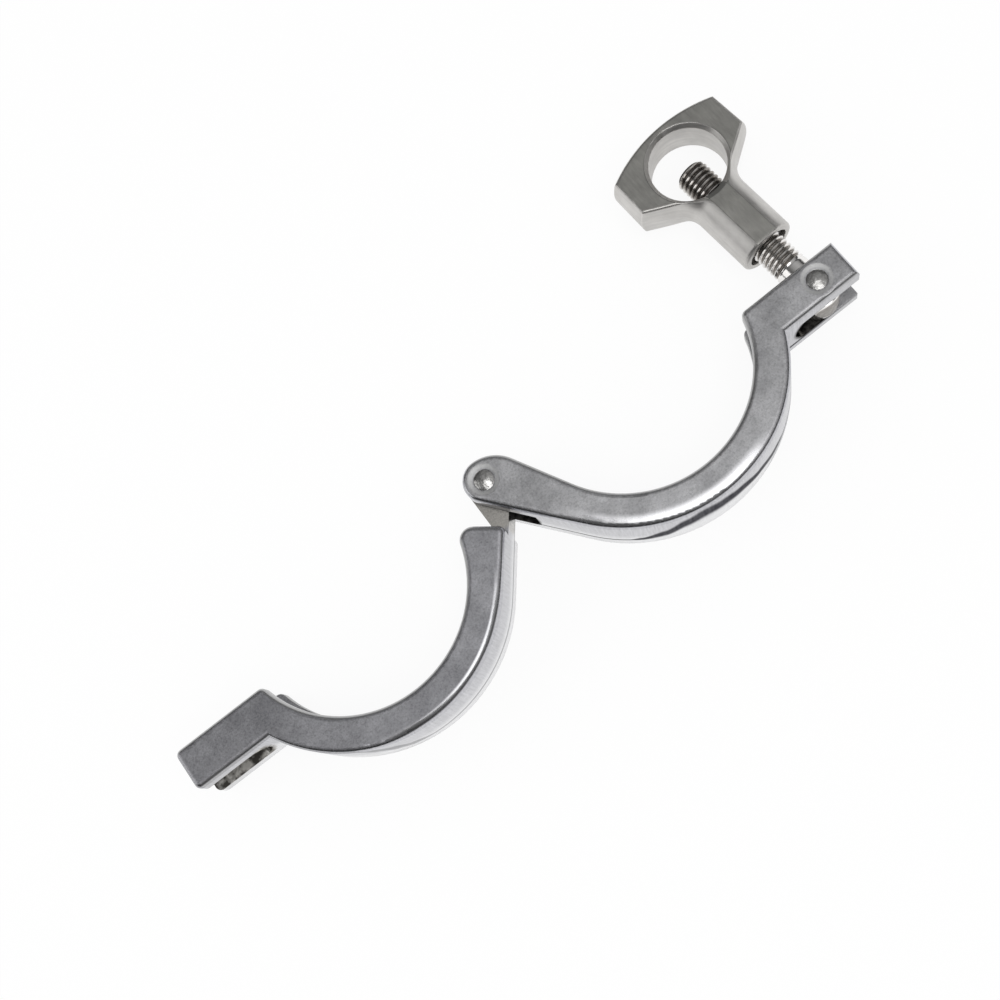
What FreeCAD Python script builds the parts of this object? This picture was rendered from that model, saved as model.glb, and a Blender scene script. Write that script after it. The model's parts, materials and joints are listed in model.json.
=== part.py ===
import FreeCAD, Part
import Sketcher
import math
import os

# Heavy-duty sanitary pipe clamp: two hinged cast halves, an eye bolt that swings on a riveted pin,
# and a one-piece wing nut. It lies open on one of its flat sides, with +Z along the ring's axis.
# The origin is the ring centre of the bolt half, at mid thickness. +X runs from the hinge to the lugs.

Vector = FreeCAD.Vector
doc = FreeCAD.newDocument("sanitary_clamp")

# Driving dimensions in millimetres and degrees
SIZES = {
    # ring section, for a 64 mm ferrule
    "lip_radius": 28.0,
    "groove_depth": 5.0,
    "groove_floor": 6.4,
    "groove_flank": 20.0,
    "ring_wall": 3.1,
    "body_thickness": 18.0,
    "edge_round": 1.3,
    "lip_round": 0.4,
    # hinge end
    "hinge_wall": 1.5,
    "ear_radius": 5.0,
    "ear_blend_excess": 4.0,
    "ear_step": 2.0,
    "fork_gap": 8.6,
    "fork_lean": 7.0,
    "fork_clearance": 0.4,
    "tongue_clearance": 0.3,
    "shoulder_gap": 5.35,
    "shoulder_round": 3.0,
    "heel_excess": 0.1,
    "open_angle": 179.2,
    # lugs
    "mating_setback": 6.5,
    "bolt_lug_depth": 9.6,
    "nut_lug_depth": 10.1,
    "pin_outset": 8.5,
    "bolt_lug_margin": 7.8,
    "nut_lug_margin": 7.1,
    "throat_round": 1.5,
    "nut_lug_tip_round": 1.5,
    "slot_width": 8.8,
    "slot_bite": 1.3,
    # pins
    "pin_diameter": 4.8,
    "pin_press": 0.03,
    "pin_running": 0.08,
    "pin_sink": 0.1,
    "pin_dome": 0.55,
    "seat_diameter": 7.4,
    "seat_depth": 0.5,
    # swing bolt
    "bolt_diameter": 8.0,
    "bolt_reach": 41.6,
    "bolt_tip_bevel": 0.9,
    "bolt_lean": 4.4,
    "eye_radius": 5.1,
    "eye_clearance": 0.3,
    # wing nut, measured from its mouth
    "nut_station": 15.3,
    "bore_clearance": 0.06,
    "mouth_bore": 10.6,
    "mouth_bore_depth": 3.5,
    "mouth_round": 0.8,
    "collar_diameter": 13.8,
    "flare_station": 15.2,
    "flare_radius": 6.0,
    "rim_diameter": 32.7,
    "rim_station": 24.6,
    "tip_diameter": 32.1,
    "tip_station": 34.3,
    "crown_rise": 3.7,
    "head_thickness": 11.0,
    "head_round": 0.6,
    "flat_runout": 5.0,
    "flat_overlap": 0.15,
    "flat_sweep": 62.0,
    "flat_blend": 8.0,
    "finger_hole": 18.0,
    "finger_hole_station": 26.3,
    "finger_hole_bevel": 0.9,
}

# Sizes that follow from the ones above
DERIVED = {
    "groove_radius": "=lip_radius + groove_depth",
    "body_radius": "=groove_radius + ring_wall",
    "hinge_reach": "=groove_radius + hinge_wall + ear_radius",
    "ear_blend": "=ear_radius + ear_blend_excess",
    "relief_reach": "=lip_radius + ear_radius + ear_step",
    "shoulder_setback": "=ear_radius + shoulder_gap",
    "bolt_pin_reach": "=body_radius + pin_outset",
    "bolt_lug_reach": "=bolt_pin_reach + bolt_lug_margin",
    "nut_lug_reach": "=bolt_pin_reach + nut_lug_margin",
    "slot_reach": "=body_radius - slot_bite",
    "heel_round": "=edge_round + heel_excess",
}

sheet = doc.addObject("Spreadsheet::Sheet", "sizes")
for row, (alias, value) in enumerate({**SIZES, **DERIVED}.items(), start=1):
    sheet.set("A%d" % row, alias)
    sheet.set("B%d" % row, str(value))
    sheet.setAlias("B%d" % row, alias)
doc.recompute()


def size(alias):
    return float(sheet.get(alias))


def bind(target, path, formula):
    """Bind a property to a formula of sheet aliases, written as {alias}."""
    target.setExpression(path, formula.replace("{", "sizes.").replace("}", ""))


def plane(body, role):
    return next(f for f in body.Origin.OriginFeatures if f.Role == role)


class Profile:
    """A sketch drawn as one closed outline, with every size bound to the sheet.

    side is 1 as drawn, or -1 to draw the outline mirrored in X.
    """

    def __init__(self, body, name, role="XY_Plane", side=1):
        self.sketch = body.newObject("Sketcher::SketchObject", name)
        self.sketch.AttachmentSupport = [(plane(body, role), "")]
        self.sketch.MapMode = "FlatFace"
        self.side = side
        self.ends = {}

    def at(self, point):
        return Vector(self.side * point[0], point[1], 0)

    def line(self, start, end):
        index = self.sketch.addGeometry(Part.LineSegment(self.at(start), self.at(end)), False)
        self.ends[index] = (1, 2)
        return index

    def arc(self, centre, start, end, clockwise=False):
        middle, first, last = self.at(centre), self.at(start), self.at(end)
        reverse = clockwise != (self.side < 0)
        if reverse:
            first, last = last, first
        circle = Part.Circle(middle, Vector(0, 0, 1), first.distanceToPoint(middle))
        angles = [math.atan2(p.y - middle.y, p.x - middle.x) for p in (first, last)]
        index = self.sketch.addGeometry(Part.ArcOfCircle(circle, *angles), False)
        self.ends[index] = (2, 1) if reverse else (1, 2)
        return index

    def guide_circle(self, centre, radius):
        circle = Part.Circle(self.at(centre), Vector(0, 0, 1), radius)
        return self.sketch.addGeometry(circle, True)

    def guide_line(self, start, end):
        return self.sketch.addGeometry(Part.LineSegment(self.at(start), self.at(end)), True)

    def rule(self, *arguments):
        return self.sketch.addConstraint(Sketcher.Constraint(*arguments))

    def join(self, pairs, kind="Coincident"):
        for before, after in pairs:
            self.rule(kind, before, self.ends[before][1], after, self.ends[after][0])

    def measure(self, kind, formula, *where):
        """Add a dimension and bind it. where ends with the value it has now."""
        index = self.rule(kind, *where)
        bind(self.sketch, "Constraints[%d]" % index, formula)

    def radius(self, element, formula):
        self.measure("Radius", formula, element, self.sketch.Geometry[element].Radius)

    def point(self, element, position):
        return self.sketch.getPoint(element, position)

    def across(self, formula, element, position):
        """Bind the distance in X from the origin to a point."""
        value = self.point(element, position).x
        if value >= 0:
            self.measure("DistanceX", formula, -1, 1, element, position, value)
        else:
            self.measure("DistanceX", formula, element, position, -1, 1, -value)

    def along(self, formula, element, position):
        """Bind the distance in Y from the origin to a point."""
        value = self.point(element, position).y
        if value >= 0:
            self.measure("DistanceY", formula, -1, 1, element, position, value)
        else:
            self.measure("DistanceY", formula, element, position, -1, 1, -value)

    def on_origin(self, element):
        self.rule("Coincident", element, 3, -1, 1)


def polygon(body, name, points):
    """A closed profile of straight lines. Each point is a pair of formulas with its present values."""
    profile = Profile(body, name)
    corners = [(x[1], y[1]) for x, y in points]
    lines = [profile.line(a, b) for a, b in zip(corners, corners[1:] + corners[:1])]
    profile.join(list(zip(lines, lines[1:] + lines[:1])))
    for index, (x, y) in zip(lines, points):
        if x[0]:
            profile.across(x[0], index, 1)
        else:
            profile.rule("PointOnObject", index, 1, -2)
        if y[0]:
            profile.along(y[0], index, 1)
        else:
            profile.rule("PointOnObject", index, 1, -1)
    return profile.sketch


def new_body(label):
    body = doc.addObject("PartDesign::Body", label)
    body.Label = label
    return body


def feature(body, kind, name, sketch, **settings):
    item = body.newObject("PartDesign::" + kind, name)
    item.Profile = sketch
    for key, value in settings.items():
        setattr(item, key, value)
    sketch.Visibility = False
    return item


def slab(body, kind, name, sketch, thickness):
    """A pad or pocket of the given thickness, centred on the sketch's plane."""
    item = feature(body, kind, name, sketch, Midplane=True)
    bind(item, "Length", thickness)
    doc.recompute()
    return item


def turned(body, kind, name, sketch, axis="V_Axis"):
    item = feature(body, kind, name, sketch, ReferenceAxis=(sketch, [axis]), Angle=360.0)
    doc.recompute()
    return item


def dressed(body, kind, name, base, edges, path, formula):
    item = body.newObject("PartDesign::" + kind, name)
    item.Base = (base, ["Edge%d" % number for number in edges])
    bind(item, path, formula)
    doc.recompute()
    return item


def edges_where(shape, test):
    return [number for number, edge in enumerate(shape.Edges, start=1) if test(edge)]


def rim_edges(shape, height):
    """Edges that lie in the two flat faces at +height and -height."""
    def in_face(edge):
        box = edge.BoundBox
        return box.ZLength < 1e-6 and abs(abs(box.ZMin) - height) < 1e-6
    return edges_where(shape, in_face)


# Tangent points shared by the outlines of both halves, in the frame of a half whose arc lies at -Y
# and whose hinge is at -X.
def outer_tangent():
    """Ends of the straight flank that touches the outer radius and the hinge ear."""
    cosine = (size("body_radius") - size("ear_radius")) / size("hinge_reach")
    normal = Vector(-cosine, -math.sqrt(1 - cosine * cosine), 0)
    hinge = Vector(-size("hinge_reach"), 0, 0)
    return normal * size("body_radius"), hinge + normal * size("ear_radius"), normal


def throat_round_points():
    """Centre and ends of the arc between the lip and the lug's mating face."""
    turn = size("throat_round")
    lip = size("lip_radius")
    centre_y = -size("mating_setback") - turn
    centre_x = math.sqrt((lip + turn) ** 2 - centre_y ** 2)
    centre = Vector(centre_x, centre_y, 0)
    on_lip = centre * (lip / (lip + turn))
    return centre, on_lip, Vector(centre_x, centre_y + turn, 0)


def lug_outline(profile, reach, depth, tip_round):
    """Mating face, tip and back face of a lug. Returns its first and last elements."""
    top = -size("mating_setback")
    bottom = top - size(depth)
    throat = throat_round_points()[2]
    heel = (math.sqrt(size("body_radius") ** 2 - bottom ** 2), bottom)
    end = size(reach)
    turn = size(tip_round) if tip_round else 0
    back = profile.line(heel, (end - turn, bottom))
    tip = profile.line((end, bottom + turn), (end, top - turn))
    face = profile.line((end - turn, top), throat)
    if tip_round:
        low = profile.arc((end - turn, bottom + turn), (end - turn, bottom), (end, bottom + turn))
        high = profile.arc((end - turn, top - turn), (end, top - turn), (end - turn, top))
        profile.join([(back, low), (low, tip), (tip, high), (high, face)], "Tangent")
        profile.radius(low, "{%s}" % tip_round)
        profile.radius(high, "{%s}" % tip_round)
    else:
        profile.join([(back, tip), (tip, face)])
    profile.rule("Horizontal", back)
    profile.rule("Horizontal", face)
    profile.rule("Vertical", tip)
    profile.along("{mating_setback}", face, profile.ends[face][1])
    profile.along("{mating_setback} + {%s}" % depth, back, profile.ends[back][0])
    profile.across("{%s}" % reach, tip, profile.ends[tip][0])
    return back, face


def outer_arc(profile, depth):
    """The ring's outer radius, from the straight flank round to a lug of the given depth."""
    flank_top = outer_tangent()[0]
    bottom = -size("mating_setback") - size(depth)
    heel = (math.sqrt(size("body_radius") ** 2 - bottom ** 2), bottom)
    outer = profile.arc((0, 0), flank_top, heel)
    profile.on_origin(outer)
    profile.radius(outer, "{body_radius}")
    return outer


def lip_and_throat(profile, start, face):
    """The lip arc from its start at the hinge side, and the rounded throat up to the mating face."""
    centre, on_lip, on_face = throat_round_points()
    throat = profile.arc(centre, on_face, on_lip)
    lip = profile.arc((0, 0), on_lip, start, clockwise=True)
    profile.join([(face, throat), (throat, lip)], "Tangent")
    profile.on_origin(lip)
    profile.radius(lip, "{lip_radius}")
    profile.radius(throat, "{throat_round}")
    return lip


def ear_blend_points():
    """The straight relief that leaves the lip, and the arc that joins it to the ear."""
    lip, blend = size("lip_radius"), size("ear_blend")
    cosine = size("relief_reach") / size("hinge_reach")
    outward = Vector(-cosine, -math.sqrt(1 - cosine ** 2), 0)
    start = outward * lip
    ahead = Vector(outward.y, -outward.x, 0)
    hinge = Vector(-size("hinge_reach"), 0, 0)
    base = start + outward * blend - hinge
    half = base.dot(ahead)
    travel = -half - math.sqrt(half ** 2 - base.dot(base) + (blend - size("ear_radius")) ** 2)
    corner = start + ahead * travel
    centre = corner + outward * blend
    touch = hinge + (hinge - centre).normalize() * size("ear_radius")
    return start, corner, centre, touch


def bolt_half_outline(body):
    profile = Profile(body, "outline")
    flank_top, flank_ear, _ = outer_tangent()
    start, corner, blend_centre, touch = ear_blend_points()
    hinge = (-size("hinge_reach"), 0)
    back, face = lug_outline(profile, "bolt_lug_reach", "bolt_lug_depth", None)
    outer = outer_arc(profile, "bolt_lug_depth")
    lip = lip_and_throat(profile, start, face)
    relief = profile.line(start, corner)
    blend = profile.arc(blend_centre, corner, touch)
    ear = profile.arc(hinge, touch, flank_ear)
    flank = profile.line(flank_ear, flank_top)
    profile.join([(lip, relief), (relief, blend), (blend, ear), (ear, flank), (flank, outer)], "Tangent")
    profile.join([(outer, back)])
    profile.rule("PointOnObject", ear, 3, -1)
    profile.across("{hinge_reach}", ear, 3)
    profile.radius(ear, "{ear_radius}")
    profile.radius(blend, "{ear_blend}")
    profile.measure("Distance", "{ear_radius} + {ear_step}", ear, 3, relief,
                    size("ear_radius") + size("ear_step"))
    return profile.sketch


def shoulder_points():
    """The square shoulder of the nut half: its line, and the two arcs that round its ends."""
    normal = outer_tangent()[2]
    ahead = Vector(-normal.y, normal.x, 0)
    inward = normal * -1
    hinge = Vector(-size("hinge_reach"), 0, 0)
    base = hinge + ahead * size("shoulder_setback")
    heel, turn = size("heel_round"), size("shoulder_round")
    ear = size("ear_radius")
    heel_centre = base + ahead * heel - inward * (ear - heel)
    heel_arc = (heel_centre, heel_centre - inward * heel, heel_centre - ahead * heel)
    # the inner arc touches the shoulder and, from outside, the lip circle
    level = base + ahead * turn
    across = level.dot(inward)
    reach = size("lip_radius") + turn
    travel = -across - math.sqrt(across ** 2 - level.dot(level) + reach ** 2)
    centre = level + inward * travel
    inner_arc = (centre, centre - ahead * turn, centre * (size("lip_radius") / reach))
    return heel_arc, inner_arc


def nut_half_outline(body):
    profile = Profile(body, "outline", side=-1)
    flank_top = outer_tangent()[0]
    heel_arc, inner_arc = shoulder_points()
    hinge = (-size("hinge_reach"), 0)
    back, face = lug_outline(profile, "nut_lug_reach", "nut_lug_depth", "nut_lug_tip_round")
    outer = outer_arc(profile, "nut_lug_depth")
    lip = lip_and_throat(profile, inner_arc[2], face)
    inner = profile.arc(inner_arc[0], inner_arc[2], inner_arc[1])
    shoulder = profile.line(inner_arc[1], heel_arc[2])
    heel = profile.arc(heel_arc[0], heel_arc[2], heel_arc[1])
    flank = profile.line(heel_arc[1], flank_top)
    ear = profile.guide_circle(hinge, size("ear_radius"))
    profile.join([(lip, inner), (inner, shoulder), (shoulder, heel), (heel, flank), (flank, outer)],
                 "Tangent")
    profile.join([(outer, back)])
    profile.rule("PointOnObject", ear, 3, -1)
    profile.across("{hinge_reach}", ear, 3)
    profile.radius(ear, "{ear_radius}")
    profile.rule("Tangent", flank, ear)
    profile.rule("Perpendicular", flank, shoulder)
    profile.measure("Distance", "{shoulder_setback}", ear, 3, shoulder, size("shoulder_setback"))
    profile.radius(inner, "{shoulder_round}")
    profile.radius(heel, "{heel_round}")
    return profile.sketch


def tongue_outline(body):
    """The hinge tongue: the ear circle with two flanks that run down into the body of the half."""
    profile = Profile(body, "tongue_outline", side=-1)
    flank_top, flank_ear, _ = outer_tangent()
    hinge = Vector(-size("hinge_reach"), 0, 0)
    ear = size("ear_radius")
    root = -size("shoulder_setback") - size("shoulder_round")
    inner_x = hinge.x + ear
    slope = (flank_top - flank_ear)
    outer_root = flank_ear + slope * ((root - flank_ear.y) / slope.y)
    ear_arc = profile.arc(hinge, (inner_x, 0), flank_ear)
    flank = profile.line(flank_ear, outer_root)
    floor = profile.line(outer_root, (inner_x, root))
    inner = profile.line((inner_x, root), (inner_x, 0))
    outer = profile.guide_circle((0, 0), size("body_radius"))
    profile.join([(ear_arc, flank), (inner, ear_arc)], "Tangent")
    profile.join([(flank, floor), (floor, inner)])
    profile.rule("PointOnObject", ear_arc, 3, -1)
    profile.across("{hinge_reach}", ear_arc, 3)
    profile.radius(ear_arc, "{ear_radius}")
    profile.on_origin(outer)
    profile.radius(outer, "{body_radius}")
    profile.rule("Tangent", flank, outer)
    profile.rule("Vertical", inner)
    profile.rule("Horizontal", floor)
    profile.along("{shoulder_setback} + {shoulder_round}", floor, profile.ends[floor][0])
    return profile.sketch


def groove_profile(body):
    """Half section of the V groove that draws two ferrules together."""
    slope = math.tan(math.radians(size("groove_flank")))
    half_floor = size("groove_floor") / 2
    deep = size("groove_radius")
    mouth = size("lip_radius") - size("mating_setback")
    half_mouth = half_floor + (deep - mouth) * slope
    profile = Profile(body, "groove_section", "XZ_Plane")
    floor = profile.line((deep, -half_floor), (deep, half_floor))
    upper = profile.line((deep, half_floor), (mouth, half_mouth))
    inner = profile.line((mouth, half_mouth), (mouth, -half_mouth))
    lower = profile.line((mouth, -half_mouth), (deep, -half_floor))
    profile.join([(floor, upper), (upper, inner), (inner, lower), (lower, floor)])
    profile.rule("Vertical", inner)
    profile.rule("Symmetric", floor, 1, floor, 2, -1)
    profile.rule("Equal", upper, lower)
    profile.across("{groove_radius}", floor, 1)
    profile.across("{lip_radius} - {mating_setback}", inner, 1)
    profile.measure("DistanceY", "{groove_floor}", floor, 1, floor, 2, 2 * half_floor)
    run = "({groove_radius} - {lip_radius} + {mating_setback})"
    profile.along("{groove_floor} / 2 + %s * tan({groove_flank})" % run, upper, 2)
    return profile.sketch


def cut_groove(body):
    groove = turned(body, "Groove", "ferrule_groove", groove_profile(body))
    lip = size("lip_radius")

    def lip_edge(edge):
        curve = edge.Curve
        if not isinstance(curve, Part.Circle) or abs(curve.Radius - lip) > 1e-4:
            return False
        height = abs(curve.Center.z)
        return abs(curve.Axis.z) > 0.99 and height < size("body_thickness") / 2 - size("edge_round") - 0.1
    edges = edges_where(groove.Shape, lip_edge)
    return dressed(body, "Fillet", "lip_rounding", groove, edges, "Radius", "{lip_round}")


def cut_bolt_slot(body, side):
    """The open slot across a lug: a full-radius end towards the ring and open at the tip."""
    radius = size("slot_width") / 2
    far = size("bolt_lug_reach") + size("slot_width")
    near = size("slot_reach") + radius
    profile = Profile(body, "slot_outline", "XZ_Plane", side)
    end = profile.arc((near, 0), (near, radius), (near, -radius))
    low = profile.line((near, -radius), (far, -radius))
    cap = profile.line((far, -radius), (far, radius))
    high = profile.line((far, radius), (near, radius))
    profile.join([(high, end), (end, low)], "Tangent")
    profile.join([(low, cap), (cap, high)])
    profile.rule("Horizontal", low)
    profile.rule("Horizontal", high)
    profile.rule("Vertical", cap)
    profile.rule("PointOnObject", end, 3, -1)
    profile.radius(end, "{slot_width} / 2")
    profile.across("{slot_reach} + {slot_width} / 2", end, 3)
    profile.across("{bolt_lug_reach} + {slot_width}", cap, 1)
    return slab(body, "Pocket", "bolt_slot", profile.sketch, "2 * {body_radius}")


def cut_cross_bore(body, name, centre, shift, bore, mouth, face, depth, over, role="XZ_Plane"):
    """A round bore along Z with a coned mouth at each face, turned about its own axis.

    centre, bore, mouth, face, depth and over are pairs of a formula and its present value: where the
    axis stands, the radii of bore and mouth, the height of the faces, how deep the cones go, and how
    far the cutter runs past the faces. shift moves the section along the normal of its plane.
    """
    profile = Profile(body, name + "_section", role, 1 if centre[1] >= 0 else -1)
    if shift:
        bind(profile.sketch, ".AttachmentOffset.Base.z", shift)
    middle = abs(centre[1])
    reach, throat = face[1] + over[1], face[1] - depth[1]
    wall = middle + bore[1]
    rim = wall + (mouth[1] - bore[1]) * (over[1] + depth[1]) / depth[1]
    points = [(middle, -reach), (rim, -reach), (wall, -throat), (wall, throat), (rim, reach), (middle, reach)]
    lines = [profile.line(a, b) for a, b in zip(points, points[1:] + points[:1])]
    profile.join(list(zip(lines, lines[1:] + lines[:1])))
    low, _, straight, _, high, spine = lines
    axis = profile.guide_line((middle, -reach), (middle, reach))
    profile.rule("Coincident", axis, 1, low, 1)
    profile.rule("Coincident", axis, 2, spine, 1)
    for kind, element in (("Vertical", straight), ("Vertical", spine), ("Horizontal", low), ("Horizontal", high)):
        profile.rule(kind, element)
    profile.across(centre[0], low, 1)
    profile.across("%s + %s" % (centre[0], bore[0]), straight, 1)
    wide = "(%s - %s) * (%s + %s) / %s" % (mouth[0], bore[0], over[0], depth[0], depth[0])
    profile.across("%s + %s + %s" % (centre[0], bore[0], wide), low, 2)
    profile.across("%s + %s + %s" % (centre[0], bore[0], wide), high, 1)
    profile.along("%s + %s" % (face[0], over[0]), low, 1)
    profile.along("%s + %s" % (face[0], over[0]), high, 1)
    profile.along("%s - %s" % (face[0], depth[0]), straight, 1)
    profile.along("%s - %s" % (face[0], depth[0]), straight, 2)
    return turned(body, "Groove", name, profile.sketch, "Axis0")


def cut_pin_bore(body, name, centre, shift, fit, seat):
    """The bore for a riveted pin. fit is the alias of its radial clearance, seat that of its dished mouth."""
    bore = ("({pin_diameter} / 2 + {%s})" % fit, size("pin_diameter") / 2 + size(fit))
    mouth = ("{%s} / 2" % seat, size(seat) / 2)
    face = ("{body_thickness} / 2", size("body_thickness") / 2)
    depth = ("{seat_depth}", size("seat_depth"))
    return cut_cross_bore(body, name, centre, shift, bore, mouth, face, depth, depth)


def cut_hinge_fork(body):
    """The gap between the two hinge ears. Its wall leans and clears the tongue by the fork clearance."""
    lean = math.radians(size("fork_lean"))
    reach = size("ear_radius") + size("fork_clearance")
    hinge = Vector(-size("hinge_reach"), 0, 0)
    touch = hinge + Vector(math.cos(lean), -math.sin(lean), 0) * reach
    top, bottom = size("ear_blend"), -size("body_radius")
    wall_x = [touch.x - (touch.y - y) * -math.tan(lean) for y in (top, bottom)]
    far = hinge.x - 2 * size("ear_radius")
    profile = Profile(body, "fork_outline")
    wall = profile.line((wall_x[1], bottom), (wall_x[0], top))
    upper = profile.line((wall_x[0], top), (far, top))
    outer = profile.line((far, top), (far, bottom))
    lower = profile.line((far, bottom), (wall_x[1], bottom))
    circle = profile.guide_circle(hinge, reach)
    profile.join([(wall, upper), (upper, outer), (outer, lower), (lower, wall)])
    profile.rule("PointOnObject", circle, 3, -1)
    profile.across("{hinge_reach}", circle, 3)
    profile.radius(circle, "{ear_radius} + {fork_clearance}")
    profile.rule("Tangent", wall, circle)
    profile.rule("Horizontal", upper)
    profile.rule("Horizontal", lower)
    profile.rule("Vertical", outer)
    profile.measure("Angle", "90 - {fork_lean}", wall, math.pi / 2 - lean)
    profile.along("{ear_blend}", upper, 1)
    profile.along("{body_radius}", lower, 1)
    profile.across("{hinge_reach} + 2 * {ear_radius}", outer, 1)
    return slab(body, "Pocket", "hinge_fork", profile.sketch, "{fork_gap}")


PIN_DEPTH = "({mating_setback} + {bolt_lug_depth} / 2)"


def cut_round(body, name, centre, fit):
    """A plain running bore for a pin, through the whole body."""
    profile = Profile(body, name + "_outline")
    radius = size("pin_diameter") / 2 + size(fit)
    circle = Part.Circle(Vector(centre[1], 0, 0), Vector(0, 0, 1), radius)
    rim = profile.sketch.addGeometry(circle, False)
    profile.rule("PointOnObject", rim, 3, -1)
    profile.radius(rim, "{pin_diameter} / 2 + {%s}" % fit)
    if centre[0]:
        profile.across(centre[0], rim, 3)
    else:
        profile.rule("PointOnObject", rim, 3, -2)
    return slab(body, "Pocket", name, profile.sketch, "2 * {body_thickness}")


def make_bolt_half():
    """Cast half with the hinge fork and the lug that holds the swing bolt."""
    body = new_body("bolt_half")
    casting = slab(body, "Pad", "casting", bolt_half_outline(body), "{body_thickness}")
    edges = rim_edges(casting.Shape, size("body_thickness") / 2)
    dressed(body, "Fillet", "edge_rounding", casting, edges, "Radius", "{edge_round}")
    cut_groove(body)
    cut_hinge_fork(body)
    cut_bolt_slot(body, 1)
    hinge = ("{hinge_reach}", -size("hinge_reach"))
    lug = ("{bolt_pin_reach}", size("bolt_pin_reach"))
    cut_pin_bore(body, "hinge_pin_bore", hinge, None, "pin_press", "seat_diameter")
    cut_pin_bore(body, "bolt_pin_bore", lug, PIN_DEPTH, "pin_press", "seat_diameter")
    return body


def make_nut_half():
    """Cast half with the hinge tongue and the open lug that the wing nut bears on."""
    body = new_body("nut_half")
    casting = slab(body, "Pad", "casting", nut_half_outline(body), "{body_thickness}")
    edges = rim_edges(casting.Shape, size("body_thickness") / 2)
    dressed(body, "Fillet", "edge_rounding", casting, edges, "Radius", "{edge_round}")
    slab(body, "Pad", "tongue", tongue_outline(body), "{fork_gap} - 2 * {tongue_clearance}")
    cut_groove(body)
    cut_bolt_slot(body, -1)
    cut_round(body, "hinge_pin_bore", ("{hinge_reach}", size("hinge_reach")), "pin_running")
    swing = "({open_angle} - 180)"
    bind(body, ".Placement.Rotation.Angle", swing)
    bind(body, ".Placement.Base.x", "-{hinge_reach} * (1 + cos(%s))" % swing)
    bind(body, ".Placement.Base.y", "-{hinge_reach} * sin(%s)" % swing)
    return body


def make_pin(label, x, y):
    """A riveted pin: a plain shank with a low dome at each end, just under the faces of the casting."""
    body = new_body(label)
    radius = size("pin_diameter") / 2
    top = size("body_thickness") / 2 - size("pin_sink")
    dome = size("pin_dome")
    bulge = (radius ** 2 + dome ** 2) / (2 * dome)
    profile = Profile(body, "section", "XZ_Plane")
    wall = profile.line((radius, dome - top), (radius, top - dome))
    upper = profile.arc((0, top - bulge), (radius, top - dome), (0, top))
    axis = profile.line((0, top), (0, -top))
    lower = profile.arc((0, bulge - top), (0, -top), (radius, dome - top))
    profile.join([(wall, upper), (upper, axis), (axis, lower), (lower, wall)])
    profile.rule("PointOnObject", upper, 3, -2)
    profile.rule("PointOnObject", lower, 3, -2)
    profile.rule("PointOnObject", axis, 1, -2)
    profile.rule("PointOnObject", axis, 2, -2)
    profile.rule("Vertical", wall)
    profile.across("{pin_diameter} / 2", wall, 1)
    for element, position in ((wall, 1), (wall, 2)):
        profile.along("{body_thickness} / 2 - {pin_sink} - {pin_dome}", element, position)
    for position in (1, 2):
        profile.along("{body_thickness} / 2 - {pin_sink}", axis, position)
    turned(body, "Revolution", "pin", profile.sketch)
    bind(body, ".Placement.Base.x", x)
    bind(body, ".Placement.Base.y", y)
    return body


def make_swing_bolt():
    """Eye bolt with a flat eye and a plain rod of the thread's outer diameter."""
    body = new_body("swing_bolt")
    radius = size("bolt_diameter") / 2
    eye = Profile(body, "eye_outline")
    rim = eye.sketch.addGeometry(Part.Circle(Vector(), Vector(0, 0, 1), size("eye_radius")), False)
    eye.on_origin(rim)
    eye.radius(rim, "{eye_radius}")
    slab(body, "Pad", "eye", eye.sketch, "{slot_width} - 2 * {eye_clearance}")
    bevel = size("bolt_tip_bevel")
    reach = size("bolt_reach")
    root = size("pin_diameter") / 2 + size("tongue_clearance")
    rod = polygon(body, "rod_section", [
        ((None, 0), ("{pin_diameter} / 2 + {tongue_clearance}", root)),
        (("{bolt_diameter} / 2", radius), ("{pin_diameter} / 2 + {tongue_clearance}", root)),
        (("{bolt_diameter} / 2", radius), ("{bolt_reach} - {bolt_tip_bevel}", reach - bevel)),
        (("{bolt_diameter} / 2 - {bolt_tip_bevel}", radius - bevel), ("{bolt_reach}", reach)),
        ((None, 0), ("{bolt_reach}", reach)),
    ])
    turned(body, "Revolution", "rod", rod)
    cut_round(body, "pin_bore", (None, 0), "pin_running")
    bind(body, ".Placement.Base.x", "{bolt_pin_reach}")
    bind(body, ".Placement.Base.y", "-%s" % PIN_DEPTH)
    bind(body, ".Placement.Rotation.Angle", "{bolt_lean}")
    return body


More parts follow.
